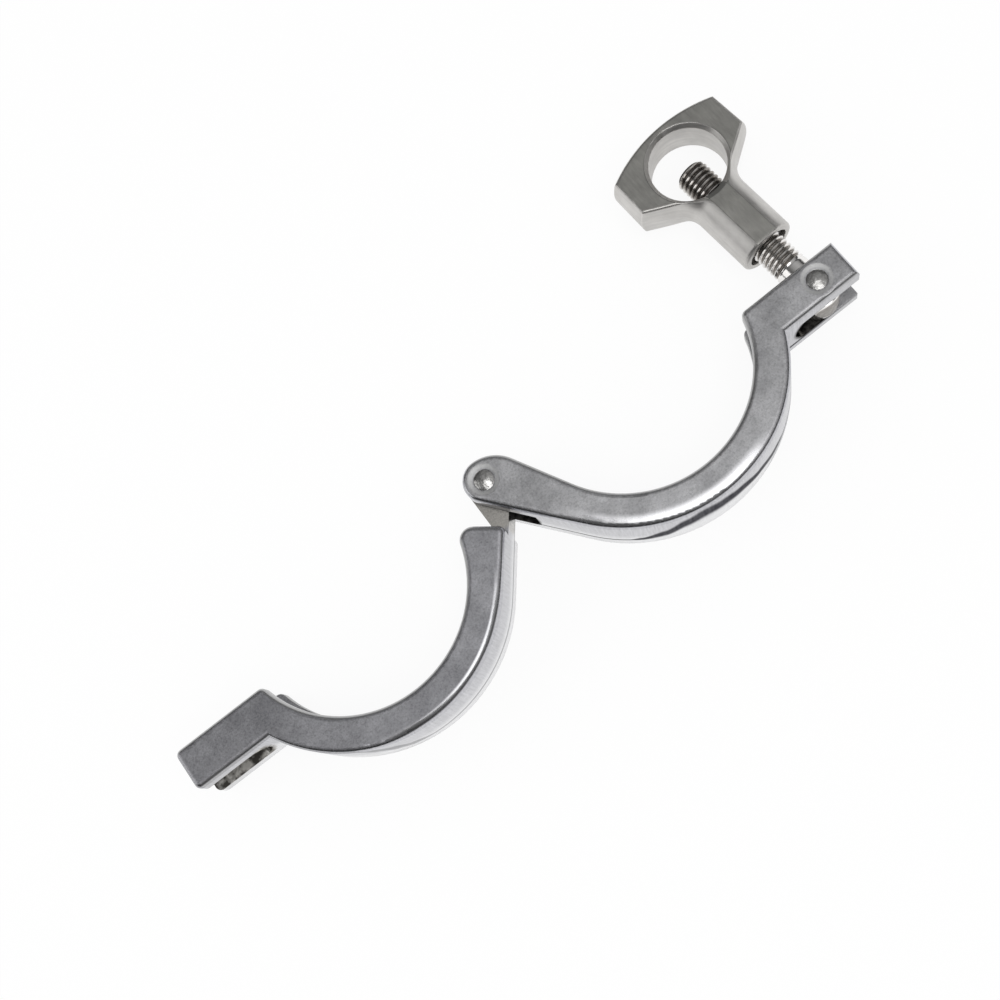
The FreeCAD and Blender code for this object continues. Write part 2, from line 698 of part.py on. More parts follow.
def blank_section(body):
    """Half section of the turned blank: round collar, flare, cone, rim and crown."""
    collar, turn = size("collar_diameter") / 2, size("mouth_round")
    flare, start = size("flare_radius"), size("flare_station")
    rim = (size("rim_diameter") / 2, size("rim_station"))
    tip = (size("tip_diameter") / 2, size("tip_station"))
    rise = size("crown_rise")
    crown = (tip[0] ** 2 + rise ** 2) / (2 * rise)
    # the cone leaves the flare where it can reach the rim
    centre = (collar + flare, start)
    reach = math.hypot(rim[0] - centre[0], rim[1] - centre[1])
    bearing = math.atan2(rim[1] - centre[1], rim[0] - centre[0])
    lift = bearing + math.acos(flare / reach)
    touch = (centre[0] + flare * math.cos(lift), centre[1] + flare * math.sin(lift))
    profile = Profile(body, "blank_section")
    mouth = profile.line((0, 0), (collar - turn, 0))
    edge = profile.arc((collar - turn, turn), (collar - turn, 0), (collar, turn))
    wall = profile.line((collar, turn), (collar, start))
    bend = profile.arc(centre, (collar, start), touch, clockwise=True)
    cone = profile.line(touch, rim)
    side = profile.line(rim, tip)
    top = profile.arc((0, tip[1] + rise - crown), tip, (0, tip[1] + rise))
    axis = profile.line((0, tip[1] + rise), (0, 0))
    profile.join([(mouth, edge), (edge, wall), (wall, bend), (bend, cone)], "Tangent")
    profile.join([(cone, side), (side, top), (top, axis), (axis, mouth)])
    profile.rule("Coincident", mouth, 1, -1, 1)
    profile.rule("Horizontal", mouth)
    profile.rule("Vertical", wall)
    profile.rule("Vertical", axis)
    profile.rule("PointOnObject", top, 3, -2)
    profile.radius(edge, "{mouth_round}")
    profile.radius(bend, "{flare_radius}")
    profile.across("{collar_diameter} / 2", wall, 2)
    profile.along("{flare_station}", wall, 2)
    profile.across("{rim_diameter} / 2", side, 1)
    profile.along("{rim_station}", side, 1)
    profile.across("{tip_diameter} / 2", side, 2)
    profile.along("{tip_station}", side, 2)
    profile.along("{tip_station} + {crown_rise}", axis, 1)
    return profile.sketch


def flats_section(body):
    """Side section of the two milled flats, which sweep out of the head and run out on the collar."""
    flat, edge = size("head_thickness") / 2, size("collar_diameter") / 2 + size("flat_overlap")
    sweep, blend, end = size("flat_sweep"), size("flat_blend"), size("flat_runout")
    top, outside = size("tip_station") + 2 * size("crown_rise"), size("rim_diameter")
    apart = sweep + blend
    high = flat + blend
    run = end + math.sqrt(apart ** 2 - (high - edge + sweep) ** 2)
    meet = (end + (run - end) * sweep / apart, edge - sweep + (high - edge + sweep) * sweep / apart)
    profile = Profile(body, "flats_section", "YZ_Plane")
    for side in (1, -1):
        def at(point):
            return (point[0], side * point[1])
        plate = profile.line(at((top, flat)), at((run, flat)))
        hollow = profile.arc(at((run, high)), at((run, flat)), at(meet), clockwise=side > 0)
        swell = profile.arc(at((end, edge - sweep)), at(meet), at((end, edge)), clockwise=side < 0)
        low = profile.line(at((end, edge)), at((end, outside)))
        far = profile.line(at((end, outside)), at((top, outside)))
        close = profile.line(at((top, outside)), at((top, flat)))
        profile.join([(plate, hollow), (hollow, swell)], "Tangent")
        profile.join([(swell, low), (low, far), (far, close), (close, plate)])
        for kind, element in (("Horizontal", plate), ("Horizontal", far), ("Vertical", low), ("Vertical", close)):
            profile.rule(kind, element)
        profile.radius(hollow, "{flat_blend}")
        profile.radius(swell, "{flat_sweep}")
        profile.across("{flat_runout}", swell, 3)
        profile.across("{flat_runout}", low, 1)
        profile.along("{collar_diameter} / 2 + {flat_overlap}", low, 1)
        profile.along("{head_thickness} / 2", plate, 1)
        profile.across("{tip_station} + 2 * {crown_rise}", plate, 1)
        profile.along("{rim_diameter}", far, 1)
    return profile.sketch


def bore_section(body):
    """Half section of the tapped bore with its wider mouth."""
    radius = size("bolt_diameter") / 2 + size("bore_clearance")
    mouth = size("mouth_bore") / 2
    depth = size("mouth_bore_depth")
    bore = "{bolt_diameter} / 2 + {bore_clearance}"
    step = "{mouth_bore_depth} + {mouth_bore} / 2 - %s" % bore
    return polygon(body, "bore_section", [
        ((None, 0), (None, 0)),
        (("{mouth_bore} / 2", mouth), (None, 0)),
        (("{mouth_bore} / 2", mouth), ("{mouth_bore_depth}", depth)),
        ((bore, radius), (step, depth + mouth - radius)),
        ((bore, radius), ("{finger_hole_station}", size("finger_hole_station"))),
        ((None, 0), ("{finger_hole_station}", size("finger_hole_station"))),
    ])


def make_wing_nut():
    """One-piece nut: a turned blank with two milled flats, a finger hole and a tapped bore."""
    body = new_body("wing_nut")
    turned(body, "Revolution", "blank", blank_section(body))
    flats = slab(body, "Pocket", "flats", flats_section(body), "2 * {rim_diameter}")
    thin = size("head_thickness") / 2

    def flat_edge(edge):
        box = edge.BoundBox
        return box.ZLength < 1e-6 and abs(abs(box.ZMin) - thin) < 1e-6
    edges = edges_where(flats.Shape, flat_edge)
    dressed(body, "Fillet", "head_rounding", flats, edges, "Radius", "{head_round}")
    hole, bevel = size("finger_hole") / 2, size("finger_hole_bevel")
    past = (size("collar_diameter") - size("head_thickness")) / 2 + size("flat_overlap")
    cut_cross_bore(body, "finger_hole", ("{finger_hole_station}", size("finger_hole_station")), None,
                   ("{finger_hole} / 2", hole), ("({finger_hole} / 2 + {finger_hole_bevel})", hole + bevel),
                   ("{head_thickness} / 2", thin), ("{finger_hole_bevel}", bevel),
                   ("(({collar_diameter} - {head_thickness}) / 2 + {flat_overlap})", past), "YZ_Plane")
    turned(body, "Groove", "tapped_bore", bore_section(body))
    bind(body, ".Placement.Rotation.Angle", "{bolt_lean}")
    bind(body, ".Placement.Base.x", "{bolt_pin_reach} - {nut_station} * sin({bolt_lean})")
    bind(body, ".Placement.Base.y", "-%s + {nut_station} * cos({bolt_lean})" % PIN_DEPTH)
    return body


bodies = [
    make_bolt_half(),
    make_nut_half(),
    make_pin("hinge_pin", "-{hinge_reach}", "0 * {hinge_reach}"),
    make_pin("bolt_pin", "{bolt_pin_reach}", "-%s" % PIN_DEPTH),
    make_swing_bolt(),
    make_wing_nut(),
]
doc.recompute()

for item in doc.Objects:
    if "Invalid" in item.State or "Error" in item.State:
        raise RuntimeError("%s failed: %s" % (item.Name, item.State))
for body in bodies:
    if body.Shape.isNull() or not body.Shape.isValid() or len(body.Shape.Solids) != 1:
        raise RuntimeError("%s is not one valid solid" % body.Label)

os.makedirs("parts", exist_ok=True)
for body in bodies:
    body.Shape.exportStep(os.path.join("parts", body.Label + ".step"))
    box = body.Shape.BoundBox
    print("%-12s volume %9.1f  box %.1f x %.1f x %.1f" % (
        body.Label, body.Shape.Volume, box.XLength, box.YLength, box.ZLength))
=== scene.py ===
import json
import math

import bmesh
import bpy
from mathutils import Matrix, Vector


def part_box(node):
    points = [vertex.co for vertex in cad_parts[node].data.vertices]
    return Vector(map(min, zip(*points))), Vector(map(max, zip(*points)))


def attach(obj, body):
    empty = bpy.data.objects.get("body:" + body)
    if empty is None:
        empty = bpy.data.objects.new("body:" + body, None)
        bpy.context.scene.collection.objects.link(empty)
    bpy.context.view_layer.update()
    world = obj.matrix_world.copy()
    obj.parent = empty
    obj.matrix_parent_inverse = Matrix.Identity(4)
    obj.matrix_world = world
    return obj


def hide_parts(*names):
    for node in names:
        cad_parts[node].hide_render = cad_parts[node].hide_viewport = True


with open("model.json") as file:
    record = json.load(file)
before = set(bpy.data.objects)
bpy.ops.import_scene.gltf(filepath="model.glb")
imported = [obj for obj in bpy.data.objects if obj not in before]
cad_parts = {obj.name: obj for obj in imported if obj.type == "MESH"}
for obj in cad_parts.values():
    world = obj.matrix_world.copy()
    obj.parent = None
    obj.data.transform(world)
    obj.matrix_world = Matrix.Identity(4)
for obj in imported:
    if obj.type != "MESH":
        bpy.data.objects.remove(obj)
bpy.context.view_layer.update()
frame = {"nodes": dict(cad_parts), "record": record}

MM = 0.001

# Where things are, in metres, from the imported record
JOINTS = {joint["name"]: joint for joint in frame["record"]["behaviour"]["joints"]}
HINGE = Vector(JOINTS["clamp_hinge"]["pos_m"])
BOLT_PIN = Vector(JOINTS["bolt_swing"]["pos_m"])
BOLT_AXIS = Vector(JOINTS["nut_travel"]["axis"]).normalized()
BOLT_SIDE = Vector((BOLT_AXIS.y, -BOLT_AXIS.x, 0))
REST_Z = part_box("bolt_half")[0][2]

# Sizes of the castings that the finishes follow, in millimetres
HALF_THICKNESS = 9.0
SLOT_HALF = 4.5
SEAT_RADIUS = 4.1
NUT_NECK = 34.6    # from the bolt's pin to where the nut's collar meets the finger hole
SKIMMED_HALF = 2.5

# Sizes of the patterns in the finishes, in millimetres. Real blast grain, belt streaks and tumbling
# scratches are near 0.1 mm, too fine to show from here, so they are drawn coarser.
BLAST_GRAIN = 0.40
BELT_STREAK = 0.45
AXIS_SCRATCH = 0.5
LEVEL_SCRATCH = 0.9
CLOUD = 6.0
# size of the patches in the painted shade of the slots
RECESS_SHADE_PATCH = 2.2
OIL_PATCH = 0.8
HAMMER_DENT = 0.9
HALF_WAVE = 9.0
NUT_WAVE = 8.0


# Colours and shader nodes
def srgb(text):
    """A linear RGBA colour from an sRGB hex value."""
    values = [int(text[i:i + 2], 16) / 255 for i in (1, 3, 5)]
    return [v / 12.92 if v <= 0.04045 else ((v + 0.055) / 1.055) ** 2.4 for v in values] + [1.0]


def grey(value):
    return (value, value, value, 1.0)


def add(tree, kind, inputs=None, **settings):
    """Add a shader node. inputs maps a socket's name or number to a value or to another node's output."""
    node = tree.nodes.new("ShaderNode" + kind)
    for key, value in settings.items():
        setattr(node, key, value)
    for key, value in (inputs or {}).items():
        if isinstance(value, bpy.types.NodeSocket):
            tree.links.new(value, node.inputs[key])
        else:
            node.inputs[key].default_value = value
    return node


def ramp(tree, factor, stops, interpolation="LINEAR"):
    """A colour ramp through stops of (place, colour)."""
    node = add(tree, "ValToRGB", {"Fac": factor})
    band = node.color_ramp
    band.interpolation = interpolation
    while len(band.elements) < len(stops):
        band.elements.new(0.5)
    for element, (place, colour) in zip(band.elements, stops):
        element.position = place
        element.color = colour
    return node.outputs["Color"]


def new_material(name):
    material = bpy.data.materials.new(name)
    material.use_nodes = True
    material.node_tree.nodes.clear()
    return material, material.node_tree


def finish_material(tree, shader):
    add(tree, "OutputMaterial", {"Surface": shader.outputs[0]})


def put(material, *nodes):
    """Give carried-over CAD nodes a finish."""
    for name in nodes:
        for slot in frame["nodes"][name].material_slots:
            slot.material = material


# Marks on the castings
def between_plates(tree, place, inner, x, y, radius):
    """1 on the faces inside a slot within radius (mm) of a point, faded out over 1 mm more."""
    gap = add(tree, "VectorMath", {0: place, 1: (x, y, 0)}, operation="DISTANCE").outputs["Value"]
    near = add(tree, "MapRange", {"Value": gap, "From Min": (radius + 1) * MM,
                                  "From Max": radius * MM}).outputs[0]
    return add(tree, "Math", {0: near, 1: inner}, operation="MULTIPLY").outputs[0]


def painted_dark_reflection(tree, turn, height, course):
    """1 along the middle of a wavy strip of painted dark reflection on the outer band and 0 at its edges.
    course is a list of (angle round the ring in degrees, height in mm, half width in mm)."""
    widest = 6.0
    first, last = math.radians(course[0][0]), math.radians(course[-1][0])
    part = add(tree, "MapRange", {"Value": turn, "From Min": first, "From Max": last}).outputs[0]
    stations = [(math.radians(angle) - first) / (last - first) for angle, _, _ in course]
    middle = ramp(tree, part, [(station, grey((level + HALF_THICKNESS) / (2 * HALF_THICKNESS)))
                               for station, (_, level, _) in zip(stations, course)], "EASE")
    half = ramp(tree, part, [(station, grey(width / widest))
                             for station, (_, _, width) in zip(stations, course)], "EASE")
    middle = add(tree, "MapRange", {"Value": middle, "To Min": -HALF_THICKNESS * MM,
                                    "To Max": HALF_THICKNESS * MM}).outputs[0]
    half = add(tree, "MapRange", {"Value": half, "To Max": widest * MM}).outputs[0]
    off = add(tree, "Math", {0: height, 1: middle}, operation="SUBTRACT").outputs[0]
    off = add(tree, "Math", {0: off}, operation="ABSOLUTE").outputs[0]
    off = add(tree, "Math", {0: off, 1: half}, operation="DIVIDE").outputs[0]
    return add(tree, "MapRange", {"Value": off, "From Min": 1.0, "From Max": 0.35},
               interpolation_type="SMOOTHSTEP").outputs[0]


def punched_seat(tree, place, x, y, colour, edge):
    """Draw the seat round a pin: pressed only a little deeper than the side, so most of its slope is
    taken out, with a pale ring painted round it as a painted highlight. Returns the new colour and normal."""
    gap = add(tree, "VectorMath", {0: place, 1: (x, y, HALF_THICKNESS * MM)},
              operation="DISTANCE").outputs["Value"]
    # painted highlight: a pale ring round the seat
    painted_seat_highlight = add(tree, "MapRange", {"Value": gap, "From Min": 0, "From Max": 5 * MM}).outputs[0]
    painted_seat_highlight = ramp(tree, painted_seat_highlight, [(0.50, grey(0)), (0.60, grey(1)), (0.66, grey(1)), (0.76, grey(0))], "EASE")
    painted_seat_highlight = add(tree, "Math", {0: painted_seat_highlight, 1: 0.40}, operation="MULTIPLY").outputs[0]
    colour = add(tree, "Mix", {"Factor": painted_seat_highlight, "A": colour, "B": srgb("#eeeeec")},
                 data_type="RGBA").outputs["Result"]
    flat = add(tree, "MapRange", {"Value": gap, "From Min": (SEAT_RADIUS + 0.3) * MM,
                                  "From Max": SEAT_RADIUS * MM, "To Max": 0.72}).outputs[0]
    edge = add(tree, "Mix", {"Factor": flat, "A": edge, "B": (0, 0, 1)}, data_type="VECTOR",
               factor_mode="UNIFORM")
    edge = add(tree, "VectorMath", {0: edge.outputs["Result"]}, operation="NORMALIZE")
    return colour, edge.outputs[0]


# Cast stainless steel. The two flat sides are blasted to an even satin with a fine grain and soft
# clouds where the casting skin differs. The outer band is belt polished and mirrors the room with
# short streaks across it. The rim between them is rolled off and burnished. Deep in the slot, the fork and
# the groove the colour is darkened as painted shade. On the outer band a wavy dark strip is a painted
# dark reflection, and the lower half is painted lighter as a painted reflection of the white table.
def cast_steel(name, centre, satin_tones, recess_shade_tones, shaded_recesses, rolled_off, table_reflection_end, dark_reflection_course,
               dark_reflection_share, bare=(), seats=()):
    """centre: of the ring, in metres.
    satin_tones, recess_shade_tones: darkest and palest colour of the flat sides and of the painted shade
    in the slots.
    recesses, bare: (x, y, radius in mm) of slots darkened with painted shade and of faces milled bare.
    rolled_off: where the side starts and ends to roll off, mm from the centre; how far its normals
        lean; and the middle and half width, in degrees, of the stretch of ring where it does.
    table_reflection_end: angle in degrees, below which the lower half of the band is painted lighter, a
    painted reflection of the white table.
    missed, dark_reflection_share: course of the wavy strip of painted dark reflection on the band, and how
    clearly it shows.
    seats: (x, y) of the pins' seats."""
    material, tree = new_material(name)
    coord = add(tree, "TexCoord")
    place = coord.outputs["Object"]
    height = add(tree, "SeparateXYZ", {0: place}).outputs["Z"]
    normal = add(tree, "SeparateXYZ", {0: coord.outputs["Normal"]})
    flatness = add(tree, "Math", {0: normal.outputs["Z"]}, operation="ABSOLUTE").outputs[0]
    # 1 on the flat sides, 0 on the walls
    side = add(tree, "MapRange", {"Value": flatness, "From Min": 0.80, "From Max": 0.97},
               interpolation_type="SMOOTHSTEP").outputs[0]
    # outward-facing walls are polished more than the groove and the lips
    arm = add(tree, "VectorMath", {0: place, 1: (centre[0], centre[1], 0)}, operation="SUBTRACT")
    flat_arm = add(tree, "VectorMath", {0: arm.outputs[0], 1: (1, 1, 0)}, operation="MULTIPLY")
    out = add(tree, "VectorMath", {0: flat_arm.outputs[0]}, operation="NORMALIZE")
    facing = add(tree, "VectorMath", {0: out.outputs[0], 1: coord.outputs["Normal"]},
                 operation="DOT_PRODUCT").outputs["Value"]
    outer = add(tree, "MapRange", {"Value": facing, "From Min": 0.15, "From Max": 0.45},
                interpolation_type="SMOOTHSTEP").outputs[0]
    # angle round the ring, in radians
    turn = add(tree, "SeparateXYZ", {0: out.outputs[0]})
    turn = add(tree, "Math", {0: turn.outputs["Y"], 1: turn.outputs["X"]}, operation="ARCTAN2").outputs[0]

    # 1 where painted shade darkens the colour: deep in the slot, the fork and the groove, and in the
    #                                           listed slots
    open_air = add(tree, "AmbientOcclusion", {"Distance": 8.0 * MM}, samples=6,
                   only_local=True).outputs["AO"]
    inside = add(tree, "MapRange", {"Value": open_air, "From Min": 0.52, "From Max": 0.22},
                 interpolation_type="SMOOTHSTEP").outputs[0]
    inner = add(tree, "Math", {0: height}, operation="ABSOLUTE").outputs[0]
    inner = add(tree, "MapRange", {"Value": inner, "From Min": (SLOT_HALF + 0.15) * MM,
                                   "From Max": SLOT_HALF * MM}).outputs[0]
    for x, y, radius in shaded_recesses:
        near = between_plates(tree, place, inner, x, y, radius)
        inside = add(tree, "Math", {0: inside, 1: near}, operation="MAXIMUM").outputs[0]

    # blast grain, clouds in the skin, and belt streaks that run across the band
    grain = add(tree, "TexNoise", {"Vector": place, "Scale": 1 / (BLAST_GRAIN * MM), "Detail": 3.0,
                                   "Roughness": 0.7}).outputs["Fac"]
    clouds = add(tree, "TexNoise", {"Vector": place, "Scale": 1 / (CLOUD * MM), "Detail": 5.0,
                                    "Roughness": 0.62}).outputs["Fac"]
    stretched = add(tree, "VectorMath", {0: place, 1: (1, 1, 0.06)}, operation="MULTIPLY")
    streaks = add(tree, "TexNoise", {"Vector": stretched.outputs[0], "Scale": 1 / (BELT_STREAK * MM),
                                     "Detail": 4.0, "Roughness": 0.65}).outputs["Fac"]

    # colour of the flat sides
    satin = ramp(tree, clouds, [(0.34, srgb(satin_tones[0])), (0.66, srgb(satin_tones[1]))])
    speck = ramp(tree, grain, [(0.34, grey(0.74)), (0.50, grey(1.0)), (0.66, grey(1.16))])
    satin = add(tree, "Mix", {"Factor": 1.0, "A": satin, "B": speck}, data_type="RGBA",
                blend_type="MULTIPLY").outputs["Result"]

    # colour of the outer band
    # painted reflection: the lower half of the outer band is lighter past an angle round the ring,
    # standing in for the mirrored white table
    low = add(tree, "MapRange", {"Value": height, "From Min": 1.5 * MM, "From Max": -4.0 * MM},
              interpolation_type="SMOOTHSTEP").outputs[0]
    reflection_stretch = add(tree, "MapRange", {"Value": turn, "From Min": math.radians(table_reflection_end),
                                      "From Max": math.radians(table_reflection_end - 14)},
                   interpolation_type="SMOOTHSTEP").outputs[0]
    low = add(tree, "Math", {0: low, 1: reflection_stretch}, operation="MULTIPLY").outputs[0]
    upper_half = ramp(tree, streaks, [(0.32, srgb("#b2b2b6")), (0.68, srgb("#cfcfd3"))])
    table_reflection_tone = ramp(tree, streaks, [(0.30, srgb("#e4e4e6")), (0.70, srgb("#f2f2f3"))])
    band = add(tree, "Mix", {"Factor": low, "A": upper_half, "B": table_reflection_tone},
               data_type="RGBA").outputs["Result"]
    # painted dark reflection: a wavy dark strip on the band, standing in for shadow mirrored from the
    # table
    strip = painted_dark_reflection(tree, turn, height, dark_reflection_course)
    strip = add(tree, "Math", {0: strip, 1: dark_reflection_share}, operation="MULTIPLY").outputs[0]
    dark_reflection_tone = ramp(tree, streaks, [(0.35, srgb("#8a8a8c")), (0.65, srgb("#a8a8aa"))])
    band = add(tree, "Mix", {"Factor": strip, "A": band, "B": dark_reflection_tone}, data_type="RGBA").outputs["Result"]
    wall = add(tree, "Mix", {"Factor": outer, "A": srgb("#b4b4b4"), "B": band},
               data_type="RGBA").outputs["Result"]
    colour = add(tree, "Mix", {"Factor": side, "A": wall, "B": satin}, data_type="RGBA").outputs["Result"]

    # painted shade in the slot, the fork and the groove, and the faces that were milled bare
    recess_shade = add(tree, "TexNoise", {"Vector": place, "Scale": 1 / (RECESS_SHADE_PATCH * MM), "Detail": 3.0})
    recess_shade = ramp(tree, recess_shade.outputs["Fac"], [(0.42, srgb(recess_shade_tones[0])), (0.62, srgb(recess_shade_tones[1]))])
    colour = add(tree, "Mix", {"Factor": inside, "A": colour, "B": recess_shade},
                 data_type="RGBA").outputs["Result"]
    for x, y, radius in bare:
        near = between_plates(tree, place, inner, x, y, radius)
        milled = add(tree, "Mix", {"Factor": 1.0, "A": speck, "B": srgb("#b9b6b1")}, data_type="RGBA",
                     blend_type="MULTIPLY").outputs["Result"]
        colour = add(tree, "Mix", {"Factor": near, "A": colour, "B": milled},
                     data_type="RGBA").outputs["Result"]

    # the painted shade and the painted dark reflection stay dark at a grazing view too
    tint = add(tree, "Mix", {"Factor": inside, "A": srgb("#ffffff"), "B": srgb(recess_shade_tones[1])},
               data_type="RGBA").outputs["Result"]
    dark_reflection_on_wall = add(tree, "Math", {0: strip, 1: outer}, operation="MULTIPLY").outputs[0]
    tint = add(tree, "Mix", {"Factor": dark_reflection_on_wall, "A": tint, "B": srgb("#77777a")},
               data_type="RGBA").outputs["Result"]

    satin_rough = add(tree, "MapRange", {"Value": grain, "From Min": 0.3, "From Max": 0.7,
                                         "To Min": 0.36, "To Max": 0.50}).outputs[0]
    belt_rough = add(tree, "MapRange", {"Value": streaks, "From Min": 0.3, "From Max": 0.7,
                                        "To Min": 0.15, "To Max": 0.26}).outputs[0]
    wall_rough = add(tree, "Mix", {"Factor": outer, "A": 0.34, "B": belt_rough}).outputs[0]
    rough = add(tree, "Mix", {"Factor": side, "A": wall_rough, "B": satin_rough}).outputs[0]

    # the rim, rolled off only along the ring, and not on the lug or round the hinge
    (roll_start, roll_end), roll_lean, (roll_middle, roll_half) = rolled_off
    reach = add(tree, "VectorMath", {0: flat_arm.outputs[0]}, operation="LENGTH").outputs["Value"]
    rolled = add(tree, "MapRange", {"Value": reach, "From Min": roll_start * MM,
                                    "From Max": roll_end * MM},
                 interpolation_type="SMOOTHSTEP").outputs[0]
    away = add(tree, "Math", {0: turn, 1: math.radians(roll_middle)}, operation="SUBTRACT").outputs[0]
    away = add(tree, "Math", {0: away}, operation="ABSOLUTE").outputs[0]
    along = add(tree, "MapRange", {"Value": away, "From Min": math.radians(roll_half),
                                   "From Max": math.radians(roll_half - 22)},
                interpolation_type="SMOOTHSTEP").outputs[0]
    rolled = add(tree, "Math", {0: rolled, 1: along}, operation="MULTIPLY").outputs[0]
    burnished = add(tree, "Math", {0: rolled, 1: side}, operation="MULTIPLY").outputs[0]
    rough = add(tree, "Mix", {"Factor": burnished, "A": rough, "B": 0.20}).outputs[0]
    colour = add(tree, "Mix", {"Factor": burnished, "A": colour, "B": srgb("#c6c6c8")},
                 data_type="RGBA").outputs["Result"]

    # normals: the rim leans outwards, and the belt has left the band slightly crowned
    crown_lean = 9.0    # for each metre above mid thickness
    off_wall = add(tree, "MapRange", {"Value": flatness, "From Min": 0.35, "From Max": 0.60}).outputs[0]
    lean = add(tree, "Math", {0: rolled, 1: off_wall}, operation="MULTIPLY").outputs[0]
    lean = add(tree, "Math", {0: lean, 1: roll_lean}, operation="MULTIPLY").outputs[0]
    lean = add(tree, "VectorMath", {0: out.outputs[0], "Scale": lean}, operation="SCALE")
    up = add(tree, "VectorMath", {0: place, 1: (0, 0, crown_lean)}, operation="MULTIPLY")
    crown = add(tree, "VectorMath", {0: up.outputs[0], "Scale": outer}, operation="SCALE")
    tilt = add(tree, "VectorMath", {0: lean.outputs[0], 1: crown.outputs[0]}, operation="ADD")
    tilt = add(tree, "VectorTransform", {0: tilt.outputs[0]}, vector_type="VECTOR", convert_from="OBJECT",
               convert_to="WORLD")
    edge = add(tree, "Bevel", {"Radius": 0.25 * MM}, samples=6)
    edge = add(tree, "VectorMath", {0: edge.outputs[0], 1: tilt.outputs[0]}, operation="ADD").outputs[0]
    for x, y in seats:
        colour, edge = punched_seat(tree, place, x, y, colour, edge)
    edge = add(tree, "VectorMath", {0: edge}, operation="NORMALIZE")

    # long waves of the casting, belt scratches, and blast grain on the flat sides alone
    waves = add(tree, "TexNoise", {"Vector": place, "Scale": 1 / (HALF_WAVE * MM), "Detail": 2.0})
    hills = add(tree, "Bump", {"Height": waves.outputs["Fac"], "Distance": 0.12 * MM, "Strength": 1.0,
                               "Normal": edge.outputs[0]})
    scratch = add(tree, "Bump", {"Height": streaks, "Distance": 0.004 * MM, "Strength": 1.0,
                                 "Normal": hills.outputs[0]})
    grainy = add(tree, "Math", {0: rolled, 1: -2.2, 2: 1.0}, operation="MULTIPLY_ADD",
                 use_clamp=True).outputs[0]
    grainy = add(tree, "Math", {0: grainy, 1: side}, operation="MULTIPLY").outputs[0]
    blasted = add(tree, "Bump", {"Height": grain, "Distance": 0.02 * MM, "Strength": grainy,
                                 "Normal": scratch.outputs[0]})
    steel = add(tree, "BsdfPrincipled", {"Base Color": colour, "Metallic": 1.0, "Roughness": rough,
                                         "Specular Tint": tint, "Normal": blasted.outputs[0]})
    finish_material(tree, steel)
    return material
